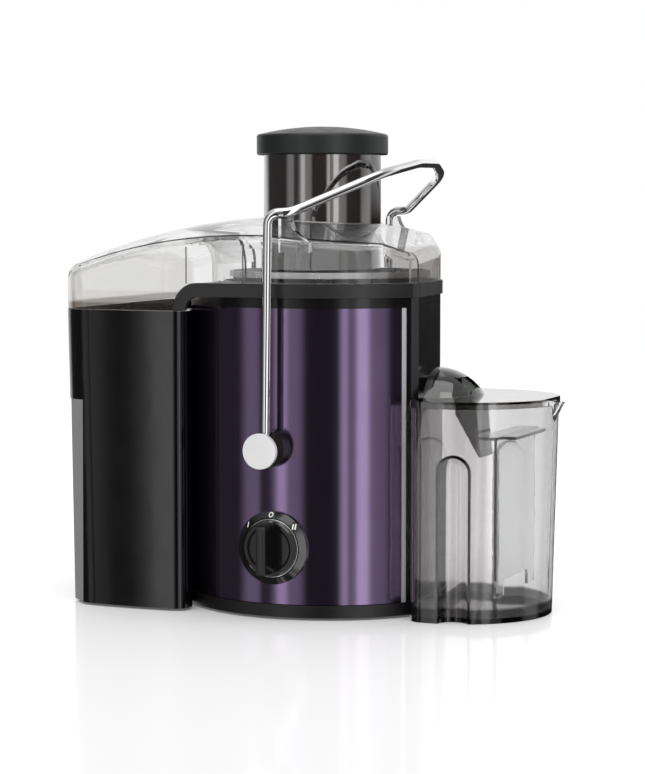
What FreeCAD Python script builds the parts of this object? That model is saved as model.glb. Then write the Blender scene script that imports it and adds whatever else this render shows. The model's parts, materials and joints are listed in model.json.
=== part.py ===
"""Centrifugal juicer with a pulp container, a lidded jug and a wire bail. Millimetres, +Z up.

Every sub-part is drawn about the spindle axis, with the front at -Y and the table at height 0,
and its Placement then moves it along X, so that the middle of the whole juicer is at the origin.
"""
import FreeCAD, Part
import math
import os

import Sketcher
from FreeCAD import Placement, Rotation, Vector

os.makedirs("parts", exist_ok=True)
doc = FreeCAD.newDocument("juicer")
sheet = doc.addObject("Spreadsheet::Sheet", "Sizes")

DRIVING_SIZES = dict(
    spindle_x=-5.1,
    wall=2.2,
    # motor body
    front_radius=97.0,
    drum_radius=76.0,
    left_face=76.5,
    facet_turn=30.0,
    housing_wall=4.0,
    panel_sheet=1.2,
    panel_right=78.0,
    trim_bottom=1.5,
    panel_bottom=9.7,
    panel_top=203.9,
    housing_top=210.2,
    deck_top=142.0,
    deck_sheet=2.5,
    ledge=0.8,
    # collar, bowl and spout
    collar_top=219.4,
    collar_radius=98.5,
    curl_x=53.5,
    curl_z=201.5,
    curl_radius=18.0,
    bowl_radius=72.3,
    bowl_floor=146.0,
    hub_radius=15.5,
    spout_y=-14.0,
    spout_half=10.0,
    spout_end=98.0,
    spout_bottom=146.5,
    spout_top=156.0,
    # lid and feed tube
    lid_wall=2.4,
    lid_crown=1000.0,
    lid_top=262.5,
    lid_shoulder=9.0,
    curtain_radius=80.0,
    curtain_wall=3.0,
    curtain_flare=22.0,
    flare_start=230.0,
    dome_radius=370.0,
    dome_x=-25.0,
    slope_x=42.0,
    slope_degrees=26.0,
    lid_skirt=200.8,
    tube_x=-5.2,
    tube_radius=40.0,
    tube_wall=2.0,
    tube_bottom=176.0,
    tube_top=308.6,
    pusher_radius=37.2,
    cap_radius=44.9,
    cap_bottom=304.3,
    cap_edge=318.6,
    cap_top=323.7,
    # basket
    basket_base=165.0,
    basket_low_radius=46.0,
    basket_high_radius=66.0,
    basket_top=226.0,
    # motor
    shaft_radius=4.0,
    shaft_bottom=16.0,
    shaft_top=160.0,
    stator_bottom=62.0,
    stator_top=96.0,
    stator_half=36.0,
    armature_radius=20.5,
    # bail
    pivot_z=112.3,
    wire_radius=3.0,
    arm_y=111.0,
    boss_radius=12.3,
    boss_end=107.5,
    cap_disc_radius=11.6,
    bail_top=265.5,
    bail_end_x=61.0,
    bail_end_half=56.6,
    bail_end_z=291.4,
    bail_nose_x=70.9,
    bail_nose_half=16.0,
    bail_nose_z=298.3,
    # knob
    knob_z=47.1,
    bezel_radius=24.2,
    knob_radius=18.6,
    mark_radius=22.0,
    knob_turn=48.0,
    # pulp container
    container_left=162.3,
    container_draft=4.0,
    container_half=94.5,
    container_corner=26.0,
    container_crown=300.0,
    container_right=66.5,
    container_bottom=1.5,
    container_top=200.5,
    grip_depth=4.5,
    grip_top=139.5,
    # jug
    jug_left=84.5,
    jug_y=-14.0,
    jug_half=60.0,
    jug_round_x=106.0,
    jug_draft=4.0,
    jug_top=139.4,
    jug_lid_top=144.2,
    hood_height=18.3,
    hood_reach=31.0,
    jug_recess_top=108.0,
)
for row, (alias, number) in enumerate(DRIVING_SIZES.items(), start=1):
    sheet.set(f"A{row}", alias)
    sheet.set(f"B{row}", str(number))
    sheet.setAlias(f"B{row}", alias)
doc.recompute()


class Size:
    """A length together with the expression that gives it from the sheet."""

    def __init__(self, number, text):
        self.number = float(number)
        self.text = text

    def joined(self, other, sign, number):
        return Size(number, f"({self.text} {sign} {size_of(other).text})")

    def __add__(self, other):
        return self.joined(other, "+", self.number + size_of(other).number)

    def __sub__(self, other):
        return self.joined(other, "-", self.number - size_of(other).number)

    def __mul__(self, other):
        return self.joined(other, "*", self.number * size_of(other).number)

    def __truediv__(self, other):
        return self.joined(other, "/", self.number / size_of(other).number)

    def __radd__(self, other):
        return size_of(other) + self

    def __rsub__(self, other):
        return size_of(other) - self

    def __rmul__(self, other):
        return size_of(other) * self

    def __neg__(self):
        return Size(-self.number, f"(0 - {self.text})")


def size_of(value):
    """A Size made from a plain number, or the Size itself."""
    return value if isinstance(value, Size) else Size(value, repr(float(value)))


def root_of(size):
    return Size(math.sqrt(size.number), f"sqrt({size.text})")


def cosine(degrees):
    return Size(math.cos(math.radians(degrees.number)), f"cos({degrees.text} * 1 deg)")


def sine(degrees):
    return Size(math.sin(math.radians(degrees.number)), f"sin({degrees.text} * 1 deg)")


def driving(alias):
    return Size(sheet.get(alias), f"Sizes.{alias}")


class Sizes:
    """The driving sizes, each under its own name."""


s = Sizes()
for alias in DRIVING_SIZES:
    setattr(s, alias, driving(alias))

nodes = {}
counter = iter(range(100000))


def bind(thing, path, value):
    thing.setExpression(path, size_of(value).text)


def add(kind, name):
    return doc.addObject(kind, f"{name}_{next(counter)}")


def put(thing, x=0, y=0, z=0, rotation=None):
    """Turn a primitive, then bind its place."""
    if rotation:
        thing.Placement = Placement(Vector(), rotation)
    for axis, value in zip("xyz", (x, y, z)):
        bind(thing, f".Placement.Base.{axis}", value)
    return thing


ALONG_X = Rotation(Vector(0, 1, 0), 90)
ALONG_Y = Rotation(Vector(1, 0, 0), -90)


def box(name, x, y, z):
    """A box between two limits on each axis."""
    thing = add("Part::Box", name)
    for side, (low, high) in zip(("Length", "Width", "Height"), (x, y, z)):
        bind(thing, side, size_of(high) - low)
    return put(thing, x[0], y[0], z[0])


def cylinder(name, radius, z, x=0, y=0):
    """A cylinder along Z between two heights."""
    thing = add("Part::Cylinder", name)
    bind(thing, "Radius", radius)
    bind(thing, "Height", size_of(z[1]) - z[0])
    return put(thing, x, y, z[0])


def cylinder_y(name, radius, y, x=0, z=0):
    """A cylinder along Y between two depths."""
    thing = add("Part::Cylinder", name)
    bind(thing, "Radius", radius)
    bind(thing, "Height", size_of(y[1]) - y[0])
    return put(thing, x, y[0], z, ALONG_Y)


def cone(name, low_radius, high_radius, z, x=0, y=0):
    thing = add("Part::Cone", name)
    bind(thing, "Radius1", low_radius)
    bind(thing, "Radius2", high_radius)
    bind(thing, "Height", size_of(z[1]) - z[0])
    return put(thing, x, y, z[0])


def cut(name, base, *tools):
    thing = add("Part::Cut", name)
    thing.Base = base
    thing.Tool = tools[0] if len(tools) == 1 else fuse(name, *tools)
    return thing


def fuse(name, *shapes):
    thing = add("Part::MultiFuse", name)
    thing.Shapes = list(shapes)
    return thing


def common(name, *shapes):
    thing = add("Part::MultiCommon", name)
    thing.Shapes = list(shapes)
    return thing


def group(name, *shapes):
    """Separate solids kept together in one node."""
    thing = add("Part::Compound", name)
    thing.Links = list(shapes)
    return thing


def mirrored_in_y(name, source):
    """The same shape on the other side of the plane through the spindle that faces front."""
    thing = add("Part::Mirroring", name)
    thing.Source = source
    thing.Normal = Vector(0, 1, 0)
    thing.Base = Vector(0, 0, 0)
    return thing


def node(label, thing):
    """Name a finished sub-part and stand it in its place on the machine."""
    thing.Label = label
    bind(thing, ".Placement.Base.x", s.spindle_x)
    nodes[label] = thing
    return thing


def arc_centre(start, end, radius):
    """Centre of the anticlockwise arc of under half a turn between two points."""
    middle = (start + end) / 2
    chord = end - start
    rise = math.sqrt(max(radius ** 2 - (chord.Length / 2) ** 2, 0))
    inward = Vector(-chord.y, chord.x, 0)
    inward.normalize()
    return middle + inward * rise


def draw(sketch, corners):
    """Draw a closed outline, anticlockwise, and bind every corner to the sheet.

    Each corner is (x, y), or (x, y, radius) where an outward arc runs to the next corner.
    """
    points = [Vector(size_of(c[0]).number, size_of(c[1]).number, 0) for c in corners]
    for index, corner in enumerate(corners):
        start = points[index]
        end = points[(index + 1) % len(points)]
        if len(corner) == 3:
            radius = size_of(corner[2]).number
            centre = arc_centre(start, end, radius)
            circle = Part.Circle(centre, Vector(0, 0, 1), radius)
            first = math.atan2(start.y - centre.y, start.x - centre.x)
            last = math.atan2(end.y - centre.y, end.x - centre.x)
            sketch.addGeometry(Part.ArcOfCircle(circle, first, last))
        else:
            sketch.addGeometry(Part.LineSegment(start, end))
    for index, corner in enumerate(corners):
        before = (index - 1) % len(corners)
        sketch.addConstraint(Sketcher.Constraint("Coincident", before, 2, index, 1))
        for kind, axis, value in (("DistanceX", -2, corner[0]), ("DistanceY", -1, corner[1])):
            size = size_of(value)
            if size.number == 0:
                sketch.addConstraint(Sketcher.Constraint("PointOnObject", index, 1, axis))
                continue
            bound_constraint(sketch, Sketcher.Constraint(kind, -1, 1, index, 1, size.number), size)
        if len(corner) == 3:
            size = size_of(corner[2])
            bound_constraint(sketch, Sketcher.Constraint("Radius", index, size.number), size)


def bound_constraint(sketch, constraint, size):
    number = sketch.addConstraint(constraint)
    sketch.renameConstraint(number, f"c{number}")
    bind(sketch, f"Constraints.c{number}", size)


def outline_sketch(name, corners, z):
    """An outline seen from above, at a height."""
    sketch = add("Sketcher::SketchObject", f"{name}_outline")
    draw(sketch, corners)
    bind(sketch, ".Placement.Base.z", z)
    return sketch


def prism(name, corners, z):
    """An outline seen from above, raised between two heights."""
    thing = add("Part::Extrusion", name)
    thing.Base = outline_sketch(name, corners, z[0])
    thing.DirMode = "Custom"
    thing.Dir = Vector(0, 0, 1)
    thing.Solid = True
    bind(thing, "LengthFwd", size_of(z[1]) - z[0])
    return thing


def loft(name, low_corners, high_corners, z):
    """A drafted shape between two outlines with the same number of corners."""
    thing = add("Part::Loft", name)
    low = outline_sketch(f"{name}_low", low_corners, z[0])
    high = outline_sketch(f"{name}_high", high_corners, z[1])
    thing.Sections = [low, high]
    thing.Solid = True
    thing.Ruled = True
    return thing


def side_prism(name, corners, y):
    """An outline seen from the front, as (x, z) corners, carried between two depths."""
    sketch = add("Sketcher::SketchObject", f"{name}_profile")
    draw(sketch, corners)
    sketch.Placement = Placement(Vector(), Rotation(Vector(1, 0, 0), 90))
    bind(sketch, ".Placement.Base.y", y[1])
    thing = add("Part::Extrusion", name)
    thing.Base = sketch
    thing.DirMode = "Custom"
    thing.Dir = Vector(0, -1, 0)
    thing.Solid = True
    bind(thing, "LengthFwd", size_of(y[1]) - y[0])
    return thing


def plane_of(body, role):
    for feature in body.Origin.OriginFeatures:
        if feature.Role == role:
            return feature
    raise ValueError(role)


def turned(name, corners):
    """A round piece about the Z axis, from (radius, height) corners."""
    body = add("PartDesign::Body", name)
    sketch = body.newObject("Sketcher::SketchObject", f"{name}_profile")
    sketch.AttachmentSupport = [(plane_of(body, "XZ_Plane"), "")]
    sketch.MapMode = "FlatFace"
    draw(sketch, corners)
    feature = body.newObject("PartDesign::Revolution", f"{name}_turn")
    feature.Profile = sketch
    feature.ReferenceAxis = (sketch, ["V_Axis"])
    feature.Angle = 360.0
    body.Tip = feature
    return body


def ring(low_radius, high_radius, low, high):
    """Corners of a plain ring for turned()."""
    return [(low_radius, low), (high_radius, low), (high_radius, high), (low_radius, high)]


def disc(radius, low, high):
    """Corners of a plain disc for turned()."""
    return [(0, low), (radius, low), (radius, high), (0, high)]


def around(count, start=0.0):
    return [start + 360.0 * index / count for index in range(count)]


def body_right_side(inset):
    """Corners of the right side of the motor body, from the front corner to the rear one."""
    front = s.front_radius - inset
    drum = s.drum_radius - inset
    corner_x = s.panel_right + 2.2 - inset
    flat_turn = size_of(7.3)
    reach = root_of(front * front - drum * drum)
    turn = s.facet_turn
    return [
        (corner_x, -root_of(front * front - corner_x * corner_x)),
        (82.6 - inset, inset * 0.3 - 47.0),
        (drum * cosine(flat_turn), drum * sine(flat_turn), drum),
        (drum * cosine(turn), drum * sine(turn)),
        (drum * cosine(turn) - reach * sine(turn), drum * sine(turn) + reach * cosine(turn), front),
    ]


def body_outline(inset):
    """The motor body from above: round front and back, flat left, cut-back right."""
    front = s.front_radius - inset
    left = s.left_face - inset
    depth = root_of(front * front - left * left)
    return [(-left, -depth, front)] + body_right_side(inset) + [(-left, depth)]


def collar_outline(inset):
    """The collar from above: as the body on the right, and straight to its left end."""
    flat_x = 8.0
    depth = s.collar_radius - inset - 0.3
    front = s.front_radius - inset + 1.5
    right = body_right_side(inset - 1.5)
    left = s.curl_x - inset
    start = (-flat_x, -root_of(front * front - flat_x * flat_x), front)
    end = (-flat_x, root_of(front * front - flat_x * flat_x))
    return [(-left, -depth), start] + right + [end, (-left, depth)]


def lid_outline(inset):
    """The lid from above: over the bowl on the right and the pulp container on the left."""
    flat_x = 8.0
    front = s.front_radius - inset
    half = s.container_half + 0.4 - inset
    corner = s.container_corner - 0.5 - inset
    left = s.container_left - 0.8 - inset
    crown = s.lid_crown - inset
    start = (-flat_x, -root_of(front * front - flat_x * flat_x), front)
    end = (-flat_x, root_of(front * front - flat_x * flat_x), crown)
    return (
        [(corner - left, -half, crown), start]
        + body_right_side(inset)
        + [end, (corner - left, half, corner), (-left, half - corner), (-left, corner - half, corner)]
    )


def container_outline(inset, draft):
    """The pulp container from above, wrapped round the left side of the motor body."""
    half = s.container_half - inset
    corner = s.container_corner - inset
    left = s.container_left - draft - inset
    right = s.container_right + inset
    small = 8.0 - inset
    crown = s.container_crown - inset
    nest = s.left_face + 1.5 + inset
    nest_half = 61.0 + inset * 0.4
    ear_half = 80.5 + inset * 1.3
    return [
        (-right - small, -half, small),
        (-right, small - half),
        (-right, -ear_half),
        (-nest, -nest_half),
        (-nest, nest_half),
        (-right, ear_half),
        (-right, half - small, small),
        (-right - small, half, crown),
        (corner - left, half, corner),
        (-left, half - corner),
        (-left, corner - half, corner),
        (corner - left, -half, crown),
    ]


def jug_outline(inset, draft):
    """The jug from above: flat towards the body, round at the pouring end."""
    half = s.jug_half - inset
    small = 10.0 - inset
    left = s.jug_left + inset
    middle = s.jug_y
    round_x = s.jug_round_x - draft
    return [
        (left + small, middle - half),
        (round_x, middle - half, half),
        (round_x + half, middle, half),
        (round_x, middle + half),
        (left + small, middle + half, small),
        (left, middle + half - small),
        (left, middle - half + small, small),
    ]


def front_sheet(name, low_radius, high_radius, x, z, back=False):
    """A strip of the round front, or of the round back, between two widths and heights."""
    tube = cut(name, cylinder(name, high_radius, z), cylinder(name, low_radius, (z[0] - 1, z[1] + 1)))
    depth = (45, 105) if back else (-105, -45)
    return common(name, tube, box(name, x, depth, (z[0] - 1, z[1] + 1)))


def rounded(name, source, radius, chosen):
    """Round the chosen edges of a finished shape."""
    doc.recompute()
    edges = [
        (number, radius.number, radius.number)
        for number, edge in enumerate(source.Shape.Edges, start=1)
        if chosen(edge)
    ]
    thing = add("Part::Fillet", name)
    thing.Base = source
    thing.Edges = edges
    return thing


# ---------------------------------------------------------------- motor body

def make_housing():
    """Moulded shell with a recess for the front sheet, and the deck between motor and bowl."""
    shell = prism("housing", body_outline(0), (s.panel_bottom + 0.2, s.housing_top))
    lower = prism("motor_room", body_outline(s.housing_wall), (0, s.deck_top))
    upper = prism("bowl_room", body_outline(s.housing_wall - s.ledge), (s.deck_top - s.deck_sheet,
                                                                       s.housing_top + 5))
    sheet_inner = s.front_radius - s.panel_sheet - 0.1
    front_recess = front_sheet(
        "front_recess", sheet_inner, 105, (-90, s.panel_right + 0.1), (0, s.panel_top)
    )
    back_recess = front_sheet("back_recess", sheet_inner, 105, (-90, 35), (0, s.panel_top), back=True)
    spout_hole = box(
        "spout_hole",
        (60, 90),
        (s.spout_y - s.spout_half - 0.5, s.spout_y + s.spout_half + 0.5),
        (s.spout_bottom - 0.5, s.spout_top + 0.5),
    )
    pin_hole = cylinder_y("pin_hole", 4.1, (-120, 120), z=s.pivot_z)
    switch_hole = cylinder_y("switch_hole", 15, (-120, -60), z=s.knob_z)
    cord_hole = cylinder_y("cord_hole", 7.1, (60, 120), x=-30, z=24)
    node("main_housing", cut(
        "main_housing", shell, lower, upper, front_recess, back_recess, spout_hole, pin_hole,
        switch_hole, cord_hole,
    ))
    plate = prism("deck", body_outline(s.housing_wall - s.ledge + 0.2),
                  (s.deck_top - s.deck_sheet + 0.05, s.deck_top))
    shaft_hole = cylinder("shaft_hole", 17, (s.deck_top - 10, s.deck_top + 10))
    node("motor_deck", cut("motor_deck", plate, shaft_hole))


def make_panels():
    """Bent metal front sheet, its edge strip and the moulded rear cover with its vents."""
    inner = s.front_radius - s.panel_sheet
    heights = (s.panel_bottom + 0.3, s.panel_top - 0.2)
    front = front_sheet("front_sheet", inner, s.front_radius, (-76.3, s.panel_right - 2.2), heights)
    pin_hole = cylinder_y("front_pin_hole", 4.1, (-120, -60), z=s.pivot_z)
    switch_hole = cylinder_y("front_switch_hole", 15, (-120, -60), z=s.knob_z)
    node("front_panel", cut("front_panel", front, pin_hole, switch_hole))
    strip_x = (s.panel_right - 2.0, s.panel_right)
    node("edge_strip", front_sheet("edge_strip", inner, s.front_radius + 0.2, strip_x, heights))
    rear = front_sheet("rear_sheet", inner, s.front_radius, (-76.3, 34), heights, back=True)
    slots = [
        box("rear_slot", (-12, 28), (80, 110), (30 + 7 * row, 33 + 7 * row)) for row in range(8)
    ]
    rear_pin_hole = cylinder_y("rear_pin_hole", 4.1, (60, 120), z=s.pivot_z)
    cord_hole = cylinder_y("rear_cord_hole", 7.1, (60, 120), x=-30, z=24)
    node("rear_cover", cut("rear_cover", rear, rear_pin_hole, cord_hole, *slots))


def make_base():
    """Base trim, base plate with vents, rubber feet and screws."""
    trim = prism("trim", body_outline(-1), (s.trim_bottom, s.panel_bottom))
    trim_room = prism("trim_room", body_outline(s.housing_wall), (0, s.panel_bottom + 1))
    node("base_trim", cut("base_trim", trim, trim_room))
    plate = prism("plate", body_outline(s.housing_wall + 0.3), (3, 5.5))
    slots = [box("base_slot", (-14, 14), (8 * row - 2, 8 * row + 2), (2, 7)) for row in range(-4, 5)]
    spots = [(-46, -58), (46, -58), (-46, 58), (38, 58)]
    screw_spots = [(x * 0.68, y) for x, y in spots]
    holes = [cylinder("base_hole", 1.8, (2, 7), x=x, y=y) for x, y in screw_spots]
    node("base_plate", cut("base_plate", plate, *slots, *holes))
    feet = [cone("foot", 8, 9, (0, 3), x=x, y=y) for x, y in spots]
    node("rubber_feet", group("rubber_feet", *feet))
    screws = []
    for x, y in screw_spots:
        head = cylinder("screw_head", 3.2, (1.4, 2.9), x=x, y=y)
        stem = cylinder("screw_stem", 1.7, (2.9, 9.5), x=x, y=y)
        screws.append(fuse("base_screw", head, stem))
    node("base_screws", group("base_screws", *screws))


def make_gland():
    """Rubber bush where the mains lead would enter the rear cover."""
    barrel = cylinder_y("gland_barrel", 6.9, (86, 97.5), x=-30, z=24)
    flange = cylinder_y("gland_flange", 9, (97.5, 100), x=-30, z=24)
    bore = cylinder_y("gland_bore", 3.4, (80, 105), x=-30, z=24)
    node("mains_gland", cut("mains_gland", fuse("gland_body", barrel, flange), bore))


# ---------------------------------------------------------------- bowl, basket and drive

def make_bowl():
    """Juice bowl in one moulding with its collar, its curled ends and its spout."""
    inner = s.bowl_radius - s.wall
    floor_top = s.bowl_floor + s.wall
    pot = turned("bowl_pot", [
        (s.hub_radius - s.wall, s.bowl_floor),
        (s.bowl_radius, s.bowl_floor),
        (s.bowl_radius, s.collar_top),
        (inner, s.collar_top),
        (inner, floor_top),
        (s.hub_radius, floor_top),
        (s.hub_radius, floor_top + 12),
        (s.hub_radius - s.wall, floor_top + 12),
    ])
    collar = prism("collar", collar_outline(0), (s.housing_top + 0.2, s.collar_top))
    under = prism("collar_room", collar_outline(3), (s.housing_top - 1, s.collar_top - 2.4))
    well = cylinder("collar_well", s.bowl_radius - 0.5, (s.housing_top - 5, s.collar_top + 5))
    curl_low = s.curl_radius - (s.collar_top - s.housing_top - 0.2)
    curl = side_prism("curl", [
        (-s.curl_x - s.curl_radius, s.curl_z),
        (-s.curl_x - curl_low, s.curl_z),
        (-s.curl_x, s.curl_z + curl_low),
        (-s.curl_x, s.curl_z + s.curl_radius, s.curl_radius),
    ], (-98.2, -94.7))
    curl_bite = cylinder_y("curl_bite", curl_low, (-110, -80), x=-s.curl_x, z=s.curl_z)
    front_curl = cut("front_curl", curl, curl_bite)
    rear_curl = mirrored_in_y("rear_curl", front_curl)
    half = s.spout_half
    spout = box("spout_outer", (66, s.spout_end), (s.spout_y - half, s.spout_y + half),
                (s.spout_bottom, s.spout_top))
    channel = box("spout_channel", (60, s.spout_end + 2),
                  (s.spout_y - half + 1.8, s.spout_y + half - 1.8),
                  (floor_top + 0.1, s.spout_top - 1.8))
    spout_inside = cylinder("spout_inside", inner, (floor_top, s.collar_top))
    solid = fuse("bowl_solid", pot, cut("collar_shell", collar, under, well), front_curl, rear_curl,
                 cut("spout_shell", spout, spout_inside))
    node("juice_bowl", cut("juice_bowl", solid, channel))


def make_basket():
    """Steel filter basket, its grater disc and its rim."""
    base = s.basket_base
    low = s.basket_low_radius
    high = s.basket_high_radius
    top = s.basket_top
    node("filter_basket", group("filter_basket", turned("basket", [
        (17.5, base),
        (low, base),
        (high, top - 4),
        (high + 2, top - 4),
        (high + 2, top),
        (high - 0.8, top),
        (high - 0.8, top - 3.6),
        (low - 0.8, base + 0.8),
        (17.5, base + 0.8),
    ])))
    plate = turned("grater_plate", disc(low - 3, base + 1.0, base + 2.2))
    teeth = []
    for turn_radius, count in ((12, 6), (22, 10), (32, 16)):
        for degrees in around(count, turn_radius):
            x = turn_radius * math.cos(math.radians(degrees))
            y = turn_radius * math.sin(math.radians(degrees))
            teeth.append(cone("tooth", 1.4, 0.3, (base + 2.1, base + 3.9), x=x, y=y))
    node("grater_disc", group("grater_disc", fuse("grater", plate, *teeth)))


def make_drive():
    """Coupling, motor shaft, bearings and the wound armature."""
    bore = s.shaft_radius + 0.05
    node("drive_coupling", group("drive_coupling", turned("coupling", [
        (bore, 143.5),
        (11, 143.5),
        (11, s.basket_base - 2.8),
        (17.2, s.basket_base - 2.8),
        (17.2, s.basket_base + 0.9),
        (0, s.basket_base + 0.9),
        (0, s.shaft_top + 0.3),
        (bore, s.shaft_top + 0.3),
    ])))
    node("motor_shaft", group("motor_shaft", turned(
        "shaft", disc(s.shaft_radius, s.shaft_bottom, s.shaft_top))))
    for label, low in (("lower_bearing", 22.0), ("upper_bearing", 124.0)):
        node(label, group(label, turned(label, ring(s.shaft_radius + 0.03, 11, low, low + 7))))
    core = turned("core", ring(bore, s.armature_radius, s.stator_bottom, s.stator_top))
    slots = []
    for degrees in around(12):
        slot = add("Part::Box", "core_slot")
        slot.Length = 5
        slot.Width = 1.6
        bind(slot, "Height", s.stator_top - s.stator_bottom + 2)
        bind(slot, ".Placement.Base.z", s.stator_bottom - 1)
        turn = Rotation(Vector(0, 0, 1), degrees)
        start = turn.multVec(Vector(s.armature_radius.number - 4, -0.8, 0))
        slot.Placement = Placement(Vector(start.x, start.y, s.stator_bottom.number - 1), turn)
        bind(slot, ".Placement.Base.z", s.stator_bottom - 1)
        slots.append(slot)
    node("armature_core", cut("armature_core", core, *slots))
    node("armature_windings", group(
        "armature_windings",
        turned("winding_low", [
            (bore + 3, 52), (12, 52), (18, 56), (18, s.stator_bottom - 0.1),
            (bore + 3, s.stator_bottom - 0.1)]),
        turned("winding_high", [
            (bore + 3, s.stator_top + 0.1), (18, s.stator_top + 0.1), (18, 101), (12, 104),
            (bore + 3, 104)]),
    ))
    node("commutator", group("commutator", turned("commutator", ring(bore, 10.5, 36, 50))))


def make_fan():
    """Cooling fan under the deck, with flat blades round a hub."""
    bore = s.shaft_radius + 0.05
    hub = turned("fan_hub", ring(bore, 9, 107, 118))
    plate = turned("fan_plate", ring(8.5, 33, 107, 108.4))
    blades = []
    for degrees in around(10):
        blade = add("Part::Box", "blade")
        blade.Length = 25
        blade.Width = 1.4
        blade.Height = 9.6
        turn = Rotation(Vector(0, 0, 1), degrees)
        blade.Placement = Placement(turn.multVec(Vector(7.5, -0.7, 0)) + Vector(0, 0, 108), turn)
        blades.append(blade)
    node("cooling_fan", group("cooling_fan", fuse("fan", hub, plate, *blades)))


def make_motor():
    """Stator, coils, brackets, brushes, rubber mounts and bolts."""
    half = s.stator_half
    heights = (s.stator_bottom, s.stator_top)
    block = box("stator_block", (-half, half), (-half, half), heights)
    bore = cylinder("stator_bore", s.armature_radius + 0.7, (40, 120))
    bolt_spots = [(x, y) for x in (-30, 30) for y in (-30, 30)]
    bolt_holes = [cylinder("stator_hole", 2.3, (40, 120), x=x, y=y) for x, y in bolt_spots]
    windows = [
        box("coil_window", (-16, 16), (side * 27 - 4, side * 27 + 4), (40, 120)) for side in (-1, 1)
    ]
    node("stator_core", cut("stator_core", block, bore, *bolt_holes, *windows))
    coils = []
    for side in (-1, 1):
        outer = box("coil", (-15.5, 15.5), (side * 27 - 3.6, side * 27 + 3.6), (54, 104))
        coils.append(outer)
    node("field_coils", group("field_coils", *coils))
    for label, low, seat in (("motor_bracket_low", 20.0, 22.0), ("motor_bracket_top", 122.0, 124.0)):
        arm = box("bracket_arm", (-half, half), (-half, half), (low, low + 2.0))
        seat_cup = cylinder("bracket_cup", 14, (low, seat + 7.2))
        seat_bore = cylinder("bracket_bore", 11.05, (seat, seat + 20))
        shaft_room = cylinder("bracket_shaft_room", 6, (low - 5, seat + 20))
        holes = [cylinder("bracket_hole", 2.3, (low - 5, low + 9), x=x, y=y) for x, y in bolt_spots]
        vents = [
            cylinder("bracket_vent", 7, (low - 5, low + 9), x=24 * math.cos(math.radians(degrees)),
                     y=24 * math.sin(math.radians(degrees)))
            for degrees in around(4)
        ]
        body = cut("bracket", fuse("bracket_solid", arm, seat_cup), seat_bore, shaft_room, *holes,
                   *vents)
        node(label, group(label, body))
    bolts = []
    for x, y in bolt_spots:
        head = cylinder("bolt_head", 4, (16.6, 19.8), x=x, y=y)
        bolts.append(fuse("bolt", head, cylinder("bolt_stem", 2, (19.7, 124), x=x, y=y)))
    node("motor_bolts", group("motor_bolts", *bolts))
    mounts = [
        cut("mount", cylinder("mount_body", 5.5, (124.2, s.deck_top - 2.6), x=x, y=y),
            cylinder("mount_bore", 2.3, (120, 126), x=x, y=y))
        for x, y in bolt_spots
    ]
    node("rubber_mounts", group("rubber_mounts", *mounts))
    brushes = []
    holders = []
    for side in (-1, 1):
        near, far = sorted((side * 10.8, side * 21))
        brushes.append(box("brush", (-2.5, 2.5), (near, far), (39, 47)))
        low, high = sorted((side * 12.5, side * 24))
        sleeve = box("holder", (-4.2, 4.2), (low, high), (37.3, 48.7))
        sleeve_low, sleeve_high = sorted((side * 8, side * 22.5))
        hollow = box("holder_room", (-2.6, 2.6), (sleeve_low, sleeve_high), (38.9, 47.1))
        holders.append(cut("brush_holder", sleeve, hollow))
    node("carbon_brushes", group("carbon_brushes", *brushes))
    node("brush_holders", group("brush_holders", *holders))


def make_bowl_seal():
    """Soft ring between the bowl hub and the deck of the housing."""
    node("bowl_seal", group("bowl_seal", turned("seal", ring(17.2, 23, s.deck_top + 0.1, 145.8))))


# ---------------------------------------------------------------- lid and feed

def lid_dome(name, inset):
    """The domed and sloped block that the lid is, made smaller by the inset."""
    blank = prism(f"{name}_blank", lid_outline(inset), (150, 300))
    ball = add("Part::Sphere", f"{name}_ball")
    bind(ball, "Radius", s.dome_radius - inset)
    put(ball, s.dome_x, 0, s.lid_top - s.dome_radius)
    slope = add("Part::Box", f"{name}_slope")
    slope.Length = 200
    slope.Width = 300
    slope.Height = 100
    slope.Placement = Placement(Vector(), Rotation(Vector(0, 1, 0), s.slope_degrees.number))
    bind(slope, ".Placement.Base.x", s.slope_x - inset * 0.3)
    slope.Placement.Base.y = -150
    bind(slope, ".Placement.Base.z", s.lid_top - 5.8 - inset)
    return cut(name, common(f"{name}_domed", blank, ball), slope)


def lid_under(name, drop):
    """Everything below the lid's lower edge, stepped down over the curled ends of the collar."""
    curl = s.curl_radius + 0.3 - drop
    step = s.collar_top + 0.2 - drop
    skirt = s.lid_skirt - drop
    floor = side_prism(f"{name}_floor", [(-250, 100), (250, 100), (250, skirt), (-250, skirt)],
                       (-150, 150))
    body = box(f"{name}_body", (-s.curl_x, 250), (-150, 150), (100, step))
    corner = cylinder_y(f"{name}_corner", curl, (-150, 150), x=-s.curl_x, z=s.curl_z)
    return fuse(name, floor, body, corner)


def is_shoulder(edge):
    """True for the edges where the dome or the slope meets the upright sides of the lid."""
    box_of_edge = edge.BoundBox
    upright = box_of_edge.ZLength > 30 and box_of_edge.XLength < 1 and box_of_edge.YLength < 1
    crease = box_of_edge.YLength > 150 and box_of_edge.XLength < 30 and box_of_edge.XMin > 20
    return box_of_edge.ZMin > 180 and not upright and not crease


def flare_torus(name, thickness):
    """The doughnut whose inner face is the flare at the top of the lid's curtain."""
    torus = add("Part::Torus", name)
    bind(torus, "Radius1", s.curtain_radius + s.curtain_flare)
    bind(torus, "Radius2", thickness)
    return put(torus, 0, 0, s.flare_start)


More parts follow.
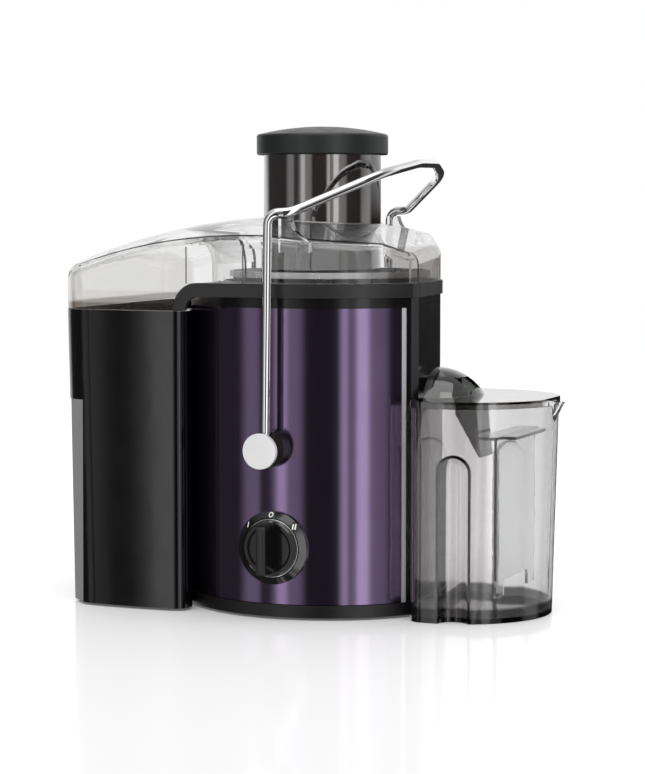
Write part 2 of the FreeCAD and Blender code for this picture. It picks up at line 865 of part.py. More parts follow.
def make_lid():
    """Clear lid with an inner curtain round the basket and a hole for the feed tube."""
    sharp = lid_dome("lid_sharp", size_of(0))
    outer = rounded("lid_outer", sharp, s.lid_shoulder, is_shoulder)
    sharp_core = lid_dome("lid_sharp_core", s.lid_wall)
    inner = rounded("lid_inner", sharp_core, s.lid_shoulder - s.lid_wall, is_shoulder)
    tube_hole = cylinder("tube_hole", s.tube_radius + 0.1, (150, 300), x=s.tube_x)
    shell = cut("lid_shell", outer, inner)
    outside = s.curtain_radius
    inside = s.curtain_radius - s.curtain_wall
    rim = s.curtain_radius + s.curtain_flare
    skirt = turned("curtain_skirt", ring(inside, outside, 150, s.flare_start))
    flare = cut(
        "curtain_flare",
        common("flare_bell", turned("flare_block", ring(inside, rim, s.flare_start, 300)),
               flare_torus("flare_inner", s.curtain_flare + s.curtain_wall)),
        flare_torus("flare_outer", s.curtain_flare),
    )
    curtain_ring = cut(
        "curtain_ring",
        fuse("curtain_whole", skirt, flare),
        box("curtain_right", (-30, 200), (-150, 150), (100, 350)),
        box("curtain_window", (-200, 0), (-33, 33), (100, s.flare_start)),
    )
    curtain = common("curtain", curtain_ring, lid_dome("lid_core", s.lid_wall * 0.5))
    solid = fuse("lid_solid", shell, curtain)
    node("lid", cut("lid", solid, lid_under("lid_edge", size_of(0)), tube_hole))
    plates = []
    for side in (-1, 1):
        low, high = sorted((side * 94.5, side * 101.5))
        plates.append(box("catch_block", (6, 27), (low, high), (240, 262)))
    bite = cylinder_y("catch_bite", 20, (-120, 120), x=33, z=266)
    pair = cut("catch_pair", fuse("catch_blocks", *plates), bite, lid_dome("catch_bed", size_of(-0.1)))
    node("lid_catches", group("lid_catches", pair))


def make_feed():
    """Feed tube, pusher and the pusher's cap."""
    outer = s.tube_radius
    tube = turned("tube", ring(outer - s.tube_wall, outer, s.tube_bottom, s.tube_top))
    node("feed_tube", group("feed_tube", put(group("tube_in_place", tube), s.tube_x)))
    radius = s.pusher_radius
    plunger = turned("plunger", [
        (0, s.tube_bottom + 5),
        (radius, s.tube_bottom + 5),
        (radius, s.cap_edge - 6),
        (radius - 1.8, s.cap_edge - 6),
        (radius - 1.8, s.tube_bottom + 6.8),
        (0, s.tube_bottom + 6.8),
    ])
    node("pusher", group("pusher", put(group("pusher_in_place", plunger), s.tube_x)))
    ceiling = s.cap_edge - 5.8
    skirt = s.tube_radius + 1.2
    crown_edge = s.cap_radius - 2.0
    crown_rise = s.cap_top - s.cap_edge
    crown_radius = (crown_edge * crown_edge + crown_rise * crown_rise) / (crown_rise * 2)
    crown = turned("cap", [
        (0, ceiling),
        (skirt, ceiling),
        (skirt, s.cap_bottom),
        (s.cap_radius - 0.8, s.cap_bottom),
        (s.cap_radius, s.cap_bottom + 1),
        (s.cap_radius, s.cap_edge - 2, 2.0),
        (crown_edge, s.cap_edge, crown_radius),
        (0, s.cap_top),
    ])
    node("pusher_cap", group("pusher_cap", put(group("cap_in_place", crown), s.tube_x)))


# ---------------------------------------------------------------- bail

def rounded_path(points, radii):
    """A wire of straight runs joined by tangent arcs, one radius for each inner point."""
    edges = []
    start = points[0]
    for before, corner, after, radius in zip(points, points[1:], points[2:], radii):
        back = (before - corner).normalize()
        onward = (after - corner).normalize()
        half_angle = back.getAngle(onward) / 2
        reach = radius / math.tan(half_angle)
        to_centre = (back + onward).normalize() * (radius / math.sin(half_angle))
        middle = corner + to_centre - Vector(to_centre).normalize() * radius
        arc_start = corner + back * reach
        arc_end = corner + onward * reach
        edges.append(Part.LineSegment(start, arc_start).toShape())
        edges.append(Part.Arc(arc_start, middle, arc_end).toShape())
        start = arc_end
    edges.append(Part.LineSegment(start, points[-1]).toShape())
    return Part.Wire(edges)


def make_bail():
    """One bent wire from pivot to pivot, over the lid's catches and round the feed tube."""
    arm = s.arm_y.number
    top = s.bail_top.number
    shoulder = Vector(s.bail_end_x.number, -s.bail_end_half.number, s.bail_end_z.number)
    nose = Vector(s.bail_nose_x.number, -s.bail_nose_half.number, s.bail_nose_z.number)
    front_half = [
        Vector(0.8, -arm, s.pivot_z.number),
        Vector(2, -arm + 1.5, top),
        Vector(17, -arm + 5.0, top + 0.8),
        shoulder,
        nose,
    ]
    rear_half = [Vector(p.x, -p.y, p.z) for p in reversed(front_half)]
    front_radii = [8, 14, 58, 32]
    radii = front_radii + front_radii[::-1]
    path = rounded_path(front_half + rear_half, radii)
    first = front_half[0]
    circle = Part.Circle(first, front_half[1] - first, s.wire_radius.number)
    wire = path.makePipeShell([Part.Wire([circle.toShape()])], True, False)
    eyes = []
    for side in (-1, 1):
        middle = side * arm
        disc_shape = Part.makeCylinder(8, 5, Vector(0, middle - 2.5, s.pivot_z.number), Vector(0, 1, 0))
        hole = Part.makeCylinder(3.1, 9, Vector(0, middle - 4.5, s.pivot_z.number), Vector(0, 1, 0))
        eyes.append(disc_shape.cut(hole))
        wire = wire.cut(hole)
    thing = add("Part::Feature", "bail_shape")
    thing.Shape = wire.fuse(eyes).removeSplitter()
    node("bail_wire", group("bail_wire", thing))


def make_pivots():
    """Bosses on the body; pins, cap discs and the interlock cam that turn with the bail."""
    arm = s.arm_y
    bosses = []
    pins = []
    caps = []
    for side in (-1, 1):
        root = side * (s.front_radius - 8)
        end = side * s.boss_end
        span = (root, end) if side > 0 else (end, root)
        boss = cylinder_y("boss", s.boss_radius, span, z=s.pivot_z)
        bore = cylinder_y("boss_bore", 3.05, (-130, 130), z=s.pivot_z)
        saddle = cylinder("boss_saddle", s.front_radius + 0.05, (0, 300))
        bosses.append(cut("pivot_boss", boss, bore, saddle))
        inner = side * 84.0
        outer = side * (arm + 5.5)
        pin_span = (inner, outer) if side > 0 else (outer, inner)
        pins.append(cylinder_y("pin", 3.0, pin_span, z=s.pivot_z))
        near = side * (arm + 5.6)
        far = side * (arm + 8.4)
        cap_span = (near, far) if side > 0 else (far, near)
        caps.append(cylinder_y("cap_disc", s.cap_disc_radius, cap_span, z=s.pivot_z))
    node("pivot_bosses", group("pivot_bosses", *bosses))
    node("pivot_pins", group("pivot_pins", *pins))
    node("pivot_caps", group("pivot_caps", *caps))
    wheel = cylinder_y("cam_wheel", 8, (-89.5, -85), z=s.pivot_z)
    cam_bore = cylinder_y("cam_bore", 3.05, (-100, -80), z=s.pivot_z)
    notch = box("cam_notch", (-12, 12), (-95, -80), (s.pivot_z + 5.5, s.pivot_z + 20))
    node("interlock_cam", cut("interlock_cam", wheel, cam_bore, notch))
    case = box("micro_switch", (-14, 14), (-90, -84), (s.pivot_z + 12, s.pivot_z + 26.5))
    button = box("micro_button", (-2, 2), (-88.5, -85.5), (s.pivot_z + 8.6, s.pivot_z + 13))
    node("interlock_switch", group("interlock_switch", fuse("switch_case", case, button)))


# ---------------------------------------------------------------- speed knob

def make_knob():
    """Bezel seated on the round front, the knob in it, its grip bar, marks and rotary switch."""
    height = s.knob_z
    bezel = turned("bezel", [
        (13.5, 80),
        (14.8, 80),
        (14.8, 95),
        (s.bezel_radius, 92),
        (s.bezel_radius, 98.4),
        (s.knob_radius + 1.6, 101.4),
        (s.knob_radius + 0.5, 100.4),
        (s.knob_radius + 0.5, 98.8),
        (13.5, 98.8),
    ])
    face_front = Rotation(Vector(1, 0, 0), 90)
    placed = put(group("bezel_in_place", bezel), 0, 0, height, face_front)
    saddle = cut("bezel_saddle", cylinder("saddle", s.front_radius + 0.1, (0, 200)),
                 cylinder_y("saddle_core", 14.85, (-120, 0), z=height))
    node("knob_bezel", cut("knob_bezel", placed, saddle))
    wheel = turned("knob_wheel", [
        (0, 86),
        (3, 86),
        (3, 99.1),
        (s.knob_radius, 99.1),
        (s.knob_radius, 103.2),
        (s.knob_radius - 1.2, 104.4),
        (s.knob_radius - 3.2, 104.4),
        (s.knob_radius - 4.6, 103.4),
        (0, 103.4),
    ])
    knob = put(group("knob_in_place", wheel), 0, 0, height, face_front)
    bar = box("grip_bar", (-3.3, 3.3), (-117.5, -103.2), (height - 15.6, height + 15.6))
    bar_end = cylinder_y("grip_bar_end", s.knob_radius - 2.4, (-118, -103), z=height)
    grip = common("grip", bar, bar_end)
    node("knob", group("knob", fuse("knob_solid", knob, grip)))
    node("knob_pointer", group("knob_pointer", box(
        "pointer", (-0.7, 0.7), (-118.1, -117.6), (height + 6.5, height + 14.5))))
    barrel = cylinder_y("switch_barrel", 12.5, (-92, -80), z=height)
    case = box("switch_box", (-14, 14), (-80, -62), (height - 16, height + 16))
    room = cylinder_y("switch_room", 3.4, (-95, -75), z=height)
    node("rotary_switch", cut("rotary_switch", fuse("switch_solid", barrel, case), room))
    marks = []
    for degrees, bars in ((0, 0), (-s.knob_turn.number, 1), (s.knob_turn.number, 2)):
        turn = math.radians(degrees)
        x = s.mark_radius * math.sin(turn)
        z = height + s.mark_radius * math.cos(turn)
        depth = (-105, -95)
        if bars == 0:
            loop = cylinder_y("mark_out", 1.6, depth, x=x, z=z)
            marks.append(cut("mark_loop", loop, cylinder_y("mark_in", 1.0, (-106, -94), x=x, z=z)))
        for number in range(bars):
            middle = x + (number - (bars - 1) / 2) * 1.5
            marks.append(box("mark_bar", (middle - 0.35, middle + 0.35), depth, (z - 1.7, z + 1.7)))
    print_top = put(group("print_top", bezel_skin("print_top", 0.25)), 0, 0, height, face_front)
    print_bed = put(group("print_bed", bezel_skin("print_bed", 0.03)), 0, 0, height, face_front)
    printed = common("printed", group("mark_set", *marks), print_top)
    node("dial_marks", cut("dial_marks", printed, print_bed))


def bezel_skin(name, lift):
    """A solid whose sloping face lies just over the bezel's."""
    return turned(name, [
        (14.5, 94),
        (s.bezel_radius, 94),
        (s.bezel_radius, 98.4 + lift),
        (s.knob_radius + 1.6, 101.4 + lift),
        (14.5, 101.4 + lift),
    ])


# ---------------------------------------------------------------- pulp container

def container_block(name, inset, low, high):
    """The container's outer or inner block, with a flat grip cut across each left corner."""
    draft = s.container_draft
    body = loft(name, container_outline(inset, draft), container_outline(inset, 0), (low, high))
    corner = s.container_corner
    middle = s.container_left + s.container_half - corner * 2
    reach = middle + (corner - s.grip_depth - inset) * math.sqrt(2)
    front_bite = prism(f"{name}_bite", [
        (100 - reach, size_of(-100)),
        (60 - reach, size_of(-60)),
        (60 - reach, size_of(-100)),
    ], (-20, s.grip_top + inset))
    return cut(name, body, front_bite, mirrored_in_y(f"{name}_rear_bite", front_bite))


def make_container():
    bottom = s.container_bottom
    outer = container_block("container_outer", size_of(0), bottom, s.container_top)
    inner = container_block("container_inner", s.wall, bottom + s.wall, s.container_top + 2)
    node("pulp_container", cut("pulp_container", outer, inner))


# ---------------------------------------------------------------- jug

def make_jug():
    """Clear jug with two grip recesses, a pouring lip and a loose froth separator."""
    draft = s.jug_draft
    wall = s.wall
    top = s.jug_top
    outer = loft("jug_outer", jug_outline(size_of(0), draft), jug_outline(size_of(0), 0), (0, top))
    inner = loft("jug_inner", jug_outline(wall, draft), jug_outline(wall, 0), (3.0, top + 2))
    tip_x = s.jug_round_x + s.jug_half + 6.5
    lip = loft(
        "lip",
        lip_outline(s.jug_round_x + 58.5, 3.0),
        lip_outline(tip_x, 11.0),
        (top - 13, top + 2.5),
    )
    lip_room = loft(
        "lip_room",
        lip_outline(s.jug_round_x + 56.0, 1.6),
        lip_outline(tip_x - 2.2, 9.0),
        (top - 12, top + 2.6),
    )
    recess_x = 116.0
    bites = []
    skins = []
    for side in (-1, 1):
        face = s.jug_y + side * s.jug_half
        bites.append(recess_shape("jug_bite", recess_x, face, 10.0, s.jug_recess_top))
        skins.append(recess_shape("jug_skin", recess_x, face, 10.0 + wall.number,
                                  s.jug_recess_top + wall))
    shell = cut("jug_shell", fuse("jug_blank", outer, lip), inner, lip_room)
    skin_parts = common("jug_skin_part", fuse("jug_skins", *skins), outer)
    node("jug", cut("jug", fuse("jug_walled", shell, skin_parts), *bites))
    plate_x = 138.0
    half = 42.0
    plate = box("separator_plate", (plate_x, plate_x + 1.8), (s.jug_y - half, s.jug_y + half),
                (16, 120))
    wide_flange = box("separator_flange", (plate_x - 12, plate_x + 3),
                      (s.jug_y - 44, s.jug_y + 44), (119, 121))
    flange = box("separator_end", (plate_x, plate_x + 12), (s.jug_y - 34, s.jug_y + 34),
                 (119, 121))
    foot_room = box("separator_gap", (plate_x - 2, plate_x + 5), (s.jug_y - 26, s.jug_y + 26),
                    (10, 26))
    node("froth_separator", cut("froth_separator", fuse("separator", plate, wide_flange, flange), foot_room))


def lip_outline(tip_x, half):
    """A three-cornered pouring lip from above."""
    root = s.jug_round_x + 40.0
    return [
        (root, s.jug_y - half - 8),
        (tip_x, s.jug_y - 1.5),
        (tip_x, s.jug_y + 1.5),
        (root, s.jug_y + half + 8),
    ]


def recess_shape(name, x, face, depth, top):
    """An upright round-topped hollow for the fingers, centred on a side of the jug."""
    channel = cylinder(name, depth, (-5, size_of(top) - depth), x=x, y=face)
    ball = add("Part::Sphere", f"{name}_top")
    bind(ball, "Radius", depth)
    put(ball, x, face, size_of(top) - depth)
    return fuse(name, channel, ball)


def hood(name, inset):
    """The part of a ball that rises over the spout as a low round hood."""
    height = s.hood_height - inset
    reach = s.hood_reach - inset
    radius = (reach * reach + height * height) / (height * 2)
    ball = add("Part::Sphere", name)
    bind(ball, "Radius", radius)
    return put(ball, s.jug_left, s.jug_y, s.jug_lid_top + height - radius)


def make_jug_lid():
    """Flat lid with a hood over the spout and a deflector that guides the juice down."""
    high = s.jug_lid_top
    low = s.jug_top + 0.3
    plate = prism("lid_plate", jug_outline(-0.8, 0), (high - 1.8, high))
    rim = cut("lid_rim", prism("lid_rim_out", jug_outline(-0.8, 0), (low, high)),
              prism("lid_rim_in", jug_outline(1.4, 0), (low - 1, high - 1.8)))
    half_space = box("hood_space", (s.jug_left, 200), (-100, 100), (high - 2, 200))
    dome = common("hood_dome", hood("hood_out", size_of(0)), half_space)
    room = hood("hood_in", s.wall)
    notch = box("hood_notch", (60, 112), (s.spout_y - 12.5, s.spout_y + 12.5), (high - 9, high + 12.3))
    lip_notch = box("lip_notch", (s.jug_round_x + 57.6, 200), (-100, 100), (low - 1, high + 1))
    solid = cut("jug_lid_top", fuse("jug_lid_solid", plate, rim, dome), room, notch, lip_notch)
    beak = side_prism("beak", [
        (101, high - 2),
        (101, high - 12),
        (117.5, high - 40),
        (119, high - 40),
        (115, high - 2),
    ], (s.spout_y - 12.4, s.spout_y + 12.4))
    beak_room = side_prism("beak_room", [
        (99, high),
        (103, high - 12),
        (117.6, high - 37),
        (113.4, high),
    ], (s.spout_y - 10.6, s.spout_y + 10.6))
    chute = cut("beak_shell", beak, beak_room)
    node("jug_lid", fuse("jug_lid", solid, chute))


make_housing()
make_panels()
make_base()
make_gland()
make_bowl()
make_bowl_seal()
make_basket()
make_drive()
make_fan()
make_motor()
make_lid()
make_feed()
make_bail()
make_pivots()
make_knob()
make_container()
make_jug()
make_jug_lid()

doc.recompute()
faults = []
for thing in doc.Objects:
    if "Invalid" in thing.State or "Error" in thing.State:
        faults.append(f"{thing.Name} is {thing.State}")
for label, thing in nodes.items():
    if thing.Shape.isNull() or not thing.Shape.isValid() or not thing.Shape.Solids:
        faults.append(f"{label} has no valid solid")
if faults:
    raise RuntimeError("; ".join(faults))
for label, thing in nodes.items():
    thing.Shape.exportStep(f"parts/{label}.step")
    size = thing.Shape.BoundBox
    print(f"{label}: {len(thing.Shape.Solids)} solids, volume {thing.Shape.Volume:.0f}, "
          f"x {size.XMin:.1f}..{size.XMax:.1f} y {size.YMin:.1f}..{size.YMax:.1f} "
          f"z {size.ZMin:.1f}..{size.ZMax:.1f}")
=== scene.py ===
"""Centrifugal juicer: materials, fine pieces, floor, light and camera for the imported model."""
import json
import math

import bpy
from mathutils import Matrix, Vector


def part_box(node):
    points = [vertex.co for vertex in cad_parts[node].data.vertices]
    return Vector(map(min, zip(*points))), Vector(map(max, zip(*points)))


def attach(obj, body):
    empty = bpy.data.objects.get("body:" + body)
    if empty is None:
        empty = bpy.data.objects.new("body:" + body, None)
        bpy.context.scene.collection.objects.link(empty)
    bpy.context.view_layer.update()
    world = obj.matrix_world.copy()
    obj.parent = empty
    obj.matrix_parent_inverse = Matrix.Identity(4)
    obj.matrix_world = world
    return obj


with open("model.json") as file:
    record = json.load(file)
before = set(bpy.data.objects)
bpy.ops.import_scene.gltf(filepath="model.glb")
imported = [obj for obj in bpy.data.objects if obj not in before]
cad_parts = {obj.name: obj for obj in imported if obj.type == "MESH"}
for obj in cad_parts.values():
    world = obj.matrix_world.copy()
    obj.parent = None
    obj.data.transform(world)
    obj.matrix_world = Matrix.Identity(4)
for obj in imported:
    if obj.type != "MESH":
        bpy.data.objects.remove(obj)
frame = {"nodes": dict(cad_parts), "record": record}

scene = bpy.context.scene
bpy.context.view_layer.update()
nodes = frame["nodes"]
shaft_low, shaft_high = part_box("motor_shaft")
spindle_x = (shaft_low[0] + shaft_high[0]) / 2


# ---------------------------------------------------------------- materials

class Tree:
    """A node tree, with short ways to add nodes and join them."""

    def __init__(self, owner):
        owner.use_nodes = True
        self.tree = owner.node_tree

    def node(self, kind, **settings):
        """A new node. Each setting is one of its inputs or one of its options."""
        made = self.tree.nodes.new(f"ShaderNode{kind}")
        for key, value in settings.items():
            if key in made.inputs:
                made.inputs[key].default_value = value
            else:
                setattr(made, key, value)
        return made

    def link(self, output, target):
        self.tree.links.new(output, target)

    def ranged(self, value, start, end, low=0.0, high=1.0, **options):
        """A value running from start to end, turned into one running from low to high."""
        span = self.node("MapRange", **options)
        for key, number in (("From Min", start), ("From Max", end), ("To Min", low), ("To Max", high)):
            span.inputs[key].default_value = number
        self.link(value, span.inputs["Value"])
        return span.outputs["Result"]


class Look(Tree):
    """One procedural material: a Principled shader and the patterns that feed it."""

    def __init__(self, name, colour, roughness, **sockets):
        self.material = bpy.data.materials.new(name)
        super().__init__(self.material)
        self.shader = self.tree.nodes["Principled BSDF"]
        self.shader.inputs["Base Color"].default_value = (*colour, 1)
        self.shader.inputs["Roughness"].default_value = roughness
        for socket, value in sockets.items():
            self.shader.inputs[socket.replace("_", " ")].default_value = value
        self.colour = colour
        self.height = None

    def place(self, stretch):
        """Position on the object, in metres, scaled along each axis."""
        where = self.node("TexCoord").outputs["Object"]
        mapping = self.node("Mapping", Scale=stretch)
        self.link(where, mapping.inputs["Vector"])
        return mapping.outputs["Vector"]

    def noise(self, scale, stretch=(1, 1, 1), detail=3.0):
        noise = self.node("TexNoise", Scale=scale, Detail=detail)
        self.link(self.place(stretch), noise.inputs["Vector"])
        return noise.outputs["Fac"]

    def spread(self, value, low, high):
        """The middle of a pattern's range drawn out to run from low to high."""
        return self.ranged(value, 0.3, 0.7, low, high)

    def uneven_gloss(self, low, high, scale, stretch=(1, 1, 1)):
        self.link(self.spread(self.noise(scale, stretch), low, high), self.shader.inputs["Roughness"])
        return self

    def mottled(self, other, scale, stretch=(1, 1, 1)):
        """The colour drifts towards another one."""
        mix = self.node("Mix", data_type="RGBA")
        mix.inputs[6].default_value = (*self.colour, 1)
        mix.inputs[7].default_value = (*other, 1)
        self.link(self.spread(self.noise(scale, stretch), 0, 1), mix.inputs[0])
        self.link(mix.outputs[2], self.shader.inputs["Base Color"])
        return self

    def bumpy(self, scale, depth, stretch=(1, 1, 1), detail=2.0):
        """Fine relief, depth in metres, laid over any relief already there."""
        bump = self.node("Bump", Strength=1.0, Distance=depth)
        self.link(self.noise(scale, stretch, detail), bump.inputs["Height"])
        if self.height:
            self.link(self.height, bump.inputs["Normal"])
        self.height = bump.outputs["Normal"]
        self.link(self.height, self.shader.inputs["Normal"])
        return self

    def wound(self, scale, depth):
        """Close turns of wire round the upright axis."""
        wave = self.node("TexWave", bands_direction="Z", Scale=scale, Distortion=1.5)
        wave.inputs["Detail Scale"].default_value = 2.0
        self.link(self.place((1, 1, 1)), wave.inputs["Vector"])
        bump = self.node("Bump", Strength=1.0, Distance=depth)
        self.link(wave.outputs["Fac"], bump.inputs["Height"])
        self.link(bump.outputs["Normal"], self.shader.inputs["Normal"])
        return self

    def darkened_past(self, axis, start, end, colour):
        """The colour is multiplied by a darker one past the end place, along an axis; the clear plastics
        use it mostly for painted shade and a painted reflection.
        """
        parts = self.node("SeparateXYZ")
        self.link(self.node("TexCoord").outputs["Object"], parts.inputs[0])
        share = self.ranged(parts.outputs[axis], start, end, interpolation_type="SMOOTHSTEP")
        mix = self.node("Mix", data_type="RGBA", blend_type="MULTIPLY")
        mix.inputs[7].default_value = (*colour, 1)
        self.link(share, mix.inputs[0])
        base = self.shader.inputs["Base Color"]
        mix.inputs[6].default_value = base.default_value
        if base.is_linked:
            self.link(base.links[0].from_socket, mix.inputs[6])
        self.link(mix.outputs[2], base)
        return self

    def absorbing(self, colour, density):
        """Moulded clear plastic that darkens with its thickness."""
        volume = self.node("VolumeAbsorption", Density=density)
        volume.inputs["Color"].default_value = (*colour, 1)
        self.link(volume.outputs[0], self.tree.nodes["Material Output"].inputs["Volume"])
        return self


def clear_plastic(name, tint, absorbed, density, **sockets):
    """Glossy clear plastic, with a slow waviness left by the mould."""
    roughness = 0.02
    refraction = 1.47
    look = Look(name, tint, roughness, Transmission_Weight=1.0, IOR=refraction, **sockets)
    look.absorbing(absorbed, density)
    look.bumpy(70, 0.00004, detail=1.0)
    return look


looks = {
    "housing_black": Look("housing_black", (0.004, 0.004, 0.0045), 0.2, Specular_IOR_Level=0.35)
    .uneven_gloss(0.15, 0.23, 60).bumpy(900, 0.000008),
    "panel_metal": Look("panel_metal", (0.150, 0.103, 0.192), 0.12, Metallic=0.975, Coat_Weight=0.4,
                        Coat_Roughness=0.05)
    .mottled((0.138, 0.092, 0.182), 35).uneven_gloss(0.10, 0.135, 300, (1, 1, 0.02))
    .bumpy(2500, 0.000003, (1, 1, 0.01)),
    "edge_silver": Look("edge_silver", (0.52, 0.52, 0.53), 0.3, Metallic=0.35)
    .uneven_gloss(0.25, 0.36, 300, (1, 1, 0.05)),
    "trim_black": Look("trim_black", (0.006, 0.006, 0.007), 0.33, Specular_IOR_Level=0.4)
    .uneven_gloss(0.3, 0.42, 80).bumpy(1500, 0.00001),
    "grey_plastic": Look("grey_plastic", (0.014, 0.014, 0.015), 0.3, Specular_IOR_Level=0.4)
    .uneven_gloss(0.3, 0.4, 90).bumpy(1400, 0.00001),
    "rubber": Look("rubber", (0.02, 0.02, 0.02), 0.75).uneven_gloss(0.65, 0.85, 120).bumpy(1800, 0.00003),
    "steel": Look("steel", (0.55, 0.55, 0.56), 0.3, Metallic=1.0)
    .uneven_gloss(0.22, 0.4, 200, (1, 1, 0.1)).bumpy(2600, 0.00001),
    "shaft_steel": Look("shaft_steel", (0.62, 0.62, 0.63), 0.16, Metallic=1.0)
    .uneven_gloss(0.12, 0.22, 400, (0.1, 1, 1)),
    "copper": Look("copper", (0.62, 0.25, 0.11), 0.32, Metallic=1.0).wound(900, 0.0002),
    "laminations": Look("laminations", (0.2, 0.2, 0.21), 0.5, Metallic=0.8).wound(1500, 0.0001),
    "brush_carbon": Look("brush_carbon", (0.03, 0.03, 0.03), 0.6).mottled((0.05, 0.05, 0.05), 800),
    "white_plastic": Look("white_plastic", (0.75, 0.75, 0.72), 0.4).bumpy(1200, 0.00001),
    # smoke_clear: darker for X under -0.154, for X over 0.066 and below Z 0.2045, painted shade at the
    # lid's ends and along its foot.
    "smoke_clear": clear_plastic("smoke_clear", (0.995, 0.995, 0.995), (0.58, 0.59, 0.58), 62)
    .darkened_past("X", -0.150, -0.154, (0.86, 0.85, 0.83)).darkened_past("X", 0.062, 0.066, (0.52, 0.50, 0.49))
    .darkened_past("Z", 0.2065, 0.2045, (0.55, 0.51, 0.49)),
    # smoke_tube: darker below Z 0.256, painted shade on the feed tube inside the lid.
    "smoke_tube": clear_plastic("smoke_tube", (0.90, 0.87, 0.86), (0.36, 0.30, 0.28), 1000,
                                Coat_Weight=1.0, Coat_IOR=2.4)
    .darkened_past("Z", 0.262, 0.256, (0.20, 0.18, 0.17)),
    "cap_black": Look("cap_black", (0.010, 0.011, 0.011), 0.4)
    .uneven_gloss(0.36, 0.46, 100).bumpy(1600, 0.00002),
    "chrome_wire": Look("chrome_wire", (0.88, 0.88, 0.89), 0.05, Metallic=1.0)
    .uneven_gloss(0.035, 0.07, 120, (1, 1, 0.1)),
    "pivot_silver": Look("pivot_silver", (0.95, 0.95, 0.95), 0.12, Metallic=0.55)
    .uneven_gloss(0.09, 0.16, 300),
    "pivot_black": Look("pivot_black", (0.010, 0.010, 0.010), 0.25).uneven_gloss(0.2, 0.3, 90),
    "knob_black": Look("knob_black", (0.005, 0.005, 0.005), 0.14, Coat_Weight=0.4)
    .uneven_gloss(0.10, 0.17, 90).bumpy(1200, 0.000006),
    "mark_white": Look("mark_white", (0.85, 0.85, 0.85), 0.5).mottled((0.78, 0.78, 0.78), 900),
    "container_black": Look("container_black", (0.0015, 0.0015, 0.002), 0.15, Specular_IOR_Level=0.5)
    .uneven_gloss(0.13, 0.17, 70).bumpy(1700, 0.000004),
    # jug_clear: pink-grey for X under 0.092, a painted reflection of the housing, and dark below Z 0.008,
    # painted shade along the jug's foot.
    "jug_clear": clear_plastic("jug_clear", (0.98, 0.98, 0.98), (0.57, 0.57, 0.575), 180)
    .darkened_past("X", 0.098, 0.092, (0.74, 0.69, 0.70)).darkened_past("Z", 0.0105, 0.008, (0.16, 0.16, 0.165)),
    "jug_lid_smoke": clear_plastic("jug_lid_smoke", (0.88, 0.85, 0.84), (0.34, 0.31, 0.30), 720,
                                   Coat_Weight=0.6, Coat_IOR=1.7)
    .darkened_past("X", 0.126, 0.116, (0.42, 0.50, 0.45)),
}

for entry in frame["record"]["subparts"]:
    mesh = nodes[entry["node"]].data
    mesh.materials.clear()
    mesh.materials.append(looks[entry["material_slot"]].material)


def smooth(obj, degrees=28):
    """Smooth shading, with edges over the angle left sharp."""
    mesh = obj.data
    mesh.shade_smooth()
    mesh.set_sharp_from_angle(angle=math.radians(degrees))


for obj in nodes.values():
    smooth(obj)


# ---------------------------------------------------------------- fine pieces

def piece(name, vertices, faces, body, slot):
    """A mesh piece that rides on a body and takes its finish from a slot."""
    mesh = bpy.data.meshes.new(name)
    mesh.from_pydata(vertices, [], faces)
    mesh.materials.append(looks[slot].material)
    obj = bpy.data.objects.new(name, mesh)
    scene.collection.objects.link(obj)
    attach(obj, body)
    smooth(obj, 60)


def bead(name, centres, outwards, up, radius, body, slot):
    """A closed round bead along a loop of centres."""
    sides = 14
    vertices = []
    for centre, outward in zip(centres, outwards):
        for k in range(sides):
            angle = 2 * math.pi * k / sides
            vertices.append(centre + outward * (radius * math.cos(angle)) + up * (radius * math.sin(angle)))
    count = len(centres)
    faces = []
    for i in range(count):
        for k in range(sides):
            after = (i + 1) % count
            beside = (k + 1) % sides
            faces.append((i * sides + k, after * sides + k, after * sides + beside, i * sides + beside))
    piece(name, vertices, faces, body, slot)


def middle_of(low, high):
    """The middle of a box, given by two opposite corners."""
    return Vector([(start + end) / 2 for start, end in zip(low, high)])


def make_knob_ring():
    """Bright ring in the gap round the knob, its middle just behind the bezel's front."""
    steps = 96
    gap = 0.0003
    sunk = 0.0004
    thickness = 0.00045
    low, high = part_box("knob")
    radius = (high[0] - low[0]) / 2 + gap
    middle = middle_of(low, high)
    middle.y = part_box("knob_bezel")[0][1] + sunk
    turns = [2 * math.pi * k / steps for k in range(steps)]
    outwards = [Vector((math.cos(turn), 0, math.sin(turn))) for turn in turns]
    centres = [middle + outward * radius for outward in outwards]
    bead("knob_ring", centres, outwards, Vector((0, 1, 0)), thickness, "machine", "shaft_steel")


def make_grip():
    """Rounded crown along the knob's grip bar: blunt at the ends, round across."""
    low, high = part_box("knob")
    half_length = 0.0158
    half_width = 0.00335
    crown = 0.0016
    sunk = 0.0004
    end_power = 6
    side_power = 2.6
    rows = 40
    across = 14
    middle = middle_of(low, high)
    bed = low[1] + sunk
    vertices = []
    for i in range(rows + 1):
        along = -1 + 2 * i / rows
        swell = (1 - abs(along) ** end_power) ** 0.5
        for k in range(across + 1):
            side = -1 + 2 * k / across
            rise = crown * swell * (1 - abs(side) ** side_power) ** 0.5
            vertices.append((middle.x + side * half_width, bed - rise, middle.z + along * half_length))
    faces = []
    for i in range(rows):
        for k in range(across):
            corner = i * (across + 1) + k
            faces.append((corner, corner + 1, corner + across + 2, corner + across + 1))
    piece("knob_grip", vertices, faces, "dial", "grey_plastic")


def dome_height(x, y):
    """Height of the lid's outside: a shallow dome with a slope towards the jug."""
    dome_radius = 0.370
    dome_left = 0.025
    crease_right = 0.030
    slope = math.radians(26)
    away = math.hypot(x - spindle_x + dome_left, y)
    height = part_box("lid")[1][2] - dome_radius + math.sqrt(dome_radius ** 2 - away ** 2)
    past_crease = max(x - spindle_x - crease_right, 0)
    return height - past_crease * math.tan(slope)


